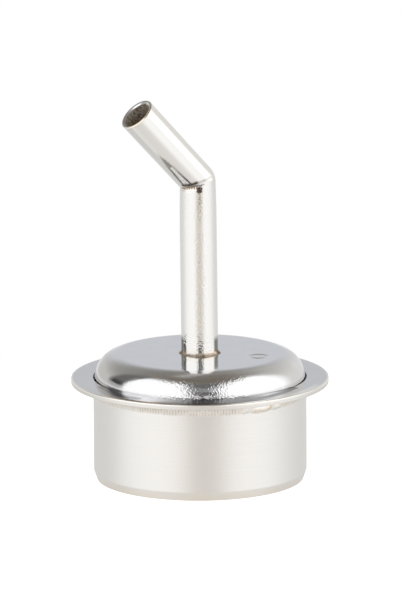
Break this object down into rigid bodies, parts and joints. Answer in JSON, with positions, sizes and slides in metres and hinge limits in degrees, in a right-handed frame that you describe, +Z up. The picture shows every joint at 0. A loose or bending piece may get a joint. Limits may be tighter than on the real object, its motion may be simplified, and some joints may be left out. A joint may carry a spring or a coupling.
{
  "type": "hot air nozzle",
  "caption": "Metal hot air nozzle: an open plug-in collar with a stop flange and a domed top that carries a thin tube, bent near its end, to aim the air.",
  "frame": {"origin": "middle of the collar's rim, on the axis of the cup, in the plane that the nozzle stands on", "axes": "+Z up along the cup's axis and the riser of the tube; the outlet leg leans towards -X in the XZ plane"},
  "size_m": [0.035, 0.035, 0.0527],
  "materials": {
    "plated_cup": "bright plated sheet steel, fine satin lines on the collar and a glossy pressed top",
    "plated_flange": "bright plated sheet steel, smooth, with a deburred edge",
    "plated_tube": "bright plated tube, smooth, faintly heat-tinted at the bend and at the foot",
    "weld_metal": "rippled weld with a straw heat tint",
    "braze_metal": "thin uneven braze with a brown tint"
  },
  "bodies": {
    "root": {"drawn_cup": "plated_cup", "flange_ring": "plated_flange", "bent_tube": "plated_tube", "flange_weld_bead": "weld_metal", "tube_braze_fillet": "braze_metal"}
  },
  "joints": []
}
